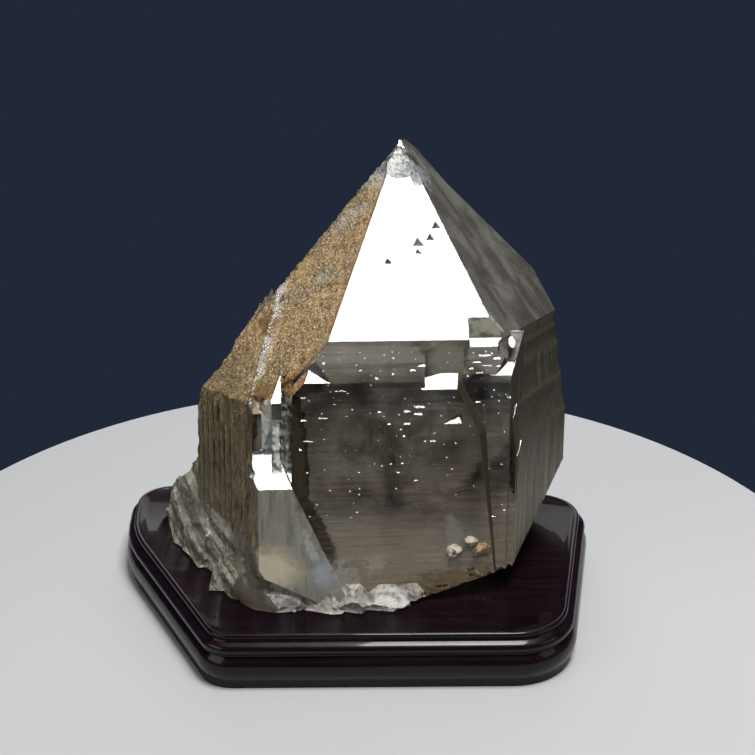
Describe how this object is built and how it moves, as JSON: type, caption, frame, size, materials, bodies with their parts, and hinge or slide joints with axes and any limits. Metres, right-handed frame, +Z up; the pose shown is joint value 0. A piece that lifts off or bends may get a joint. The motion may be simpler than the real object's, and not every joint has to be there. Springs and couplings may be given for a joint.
{
  "type": "quartz crystal",
  "caption": "Large smoky quartz point with stepped faces and a broken base, resting on a moulded dark wooden display stand",
  "frame": {"origin": "middle of the underside of the stand", "axes": "+Z up, -Y towards the front, which the large bright face of the point looks out of"},
  "size_m": [0.2502, 0.173, 0.2258],
  "materials": {
    "smoky_quartz": "clear smoky faces, some iron-stained and rough, frosted where broken",
    "lacquered_wood": "gloss lacquer over dark purple-brown wood"
  },
  "bodies": {
    "root": {"crystal": "smoky_quartz", "stand": "lacquered_wood"}
  },
  "joints": []
}
